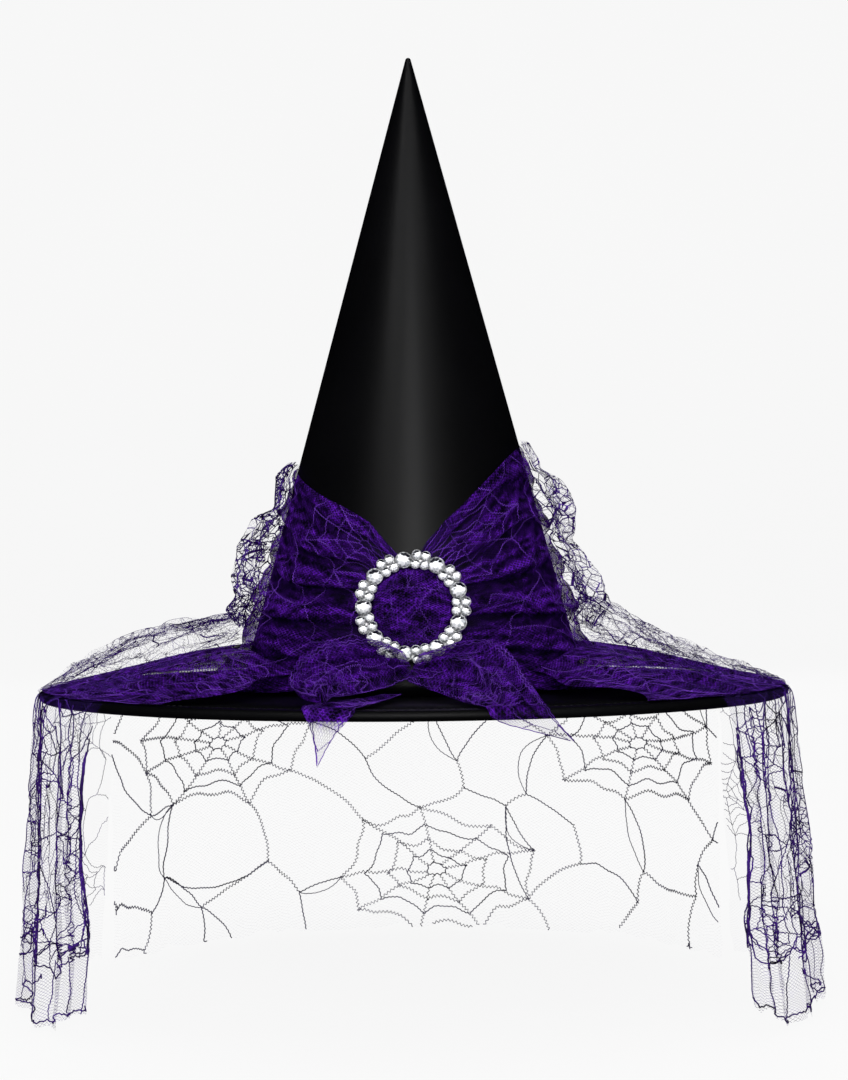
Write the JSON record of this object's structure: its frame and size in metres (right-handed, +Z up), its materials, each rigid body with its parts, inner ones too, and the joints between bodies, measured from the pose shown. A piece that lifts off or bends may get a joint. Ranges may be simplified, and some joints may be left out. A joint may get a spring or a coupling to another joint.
{
  "type": "witch hat",
  "caption": "Tall pointed costume hat with a flat round brim, a gathered lace band drawn through a stone-set ring buckle, and a spider-web lace veil hanging from the brim.",
  "frame": {"origin": "centre of the head opening, in the plane of the brim's underside", "axes": "+Z up along the crown's axis, -Y to the front where the buckle is, -X to the left as seen from the front"},
  "size_m": [0.3958, 0.4007, 0.4897],
  "materials": {
    "satin": "smooth black satin",
    "foam": "thin black foam backing",
    "ribbon": "ribbed black ribbon",
    "board": "stiff black interfacing",
    "wire": "drawn wire",
    "lace": "deep violet openwork lace",
    "silver": "bright plated metal",
    "crystal": "clear cut stones"
  },
  "bodies": {
    "hat": {"crown_satin_cone": "satin", "crown_foam_stiffener": "foam", "sweatband": "ribbon", "brim_under_cover": "satin", "brim_board": "board", "brim_top_cover": "satin", "brim_binding": "satin", "brim_wire": "wire", "crown_wrap_left": "lace", "crown_wrap_right": "lace", "veil_tent": "lace", "veil_lining": "lace", "ruffle_left": "lace", "ruffle_back": "lace", "ruffle_right": "lace"},
    "buckle": {"buckle_frame": "silver", "buckle_gather": "lace", "large_stone_1": "crystal", "large_stone_2": "crystal", "large_stone_3": "crystal", "large_stone_4": "crystal", "large_stone_5": "crystal", "large_stone_6": "crystal", "large_stone_7": "crystal", "large_stone_8": "crystal", "large_stone_9": "crystal", "small_stone_set_1": "crystal", "small_stone_set_2": "crystal", "small_stone_set_3": "crystal", "small_stone_set_4": "crystal", "small_stone_set_5": "crystal", "small_stone_set_6": "crystal", "small_stone_set_7": "crystal", "small_stone_set_8": "crystal", "small_stone_set_9": "crystal"},
    "bow_tail_left": {"bow_tail_left": "lace", "bow_loop_left": "lace"},
    "bow_tail_right": {"bow_tail_right": "lace"},
    "veil_drop_left": {"veil_drop_left": "lace"},
    "veil_drop_back": {"veil_drop_back": "lace"},
    "veil_drop_right": {"veil_drop_right": "lace"}
  },
  "joints": [
    {"name": "veil_left_swing", "type": "hinge", "parent": "hat", "child": "veil_drop_left", "pos_m": [-0.18427, -0.02263, 0.0041], "axis": [-0.1219, 0.9925, 0], "range_deg": [-5, 25]},
    {"name": "veil_back_swing", "type": "hinge", "parent": "hat", "child": "veil_drop_back", "pos_m": [0, 0.16399, 0.0041], "axis": [1, 0, 0], "range_deg": [-5, 25]},
    {"name": "veil_right_swing", "type": "hinge", "parent": "hat", "child": "veil_drop_right", "pos_m": [0.18427, -0.02263, 0.0041], "axis": [-0.1219, -0.9925, 0], "range_deg": [-5, 25]},
    {"name": "bow_tail_left_lift", "type": "hinge", "parent": "hat", "child": "bow_tail_left", "pos_m": [-0.01, -0.099, 0.011], "axis": [-0.9563, 0.2924, 0], "range_deg": [0, 35]},
    {"name": "bow_tail_right_lift", "type": "hinge", "parent": "hat", "child": "bow_tail_right", "pos_m": [0.01, -0.099, 0.011], "axis": [-0.8988, -0.4384, 0], "range_deg": [0, 60]},
    {"name": "buckle_tilt", "type": "hinge", "parent": "hat", "child": "buckle", "pos_m": [0, -0.08728, 0.04717], "axis": [0, 0.2612, 0.9653], "range_deg": [-7, 7]}
  ]
}
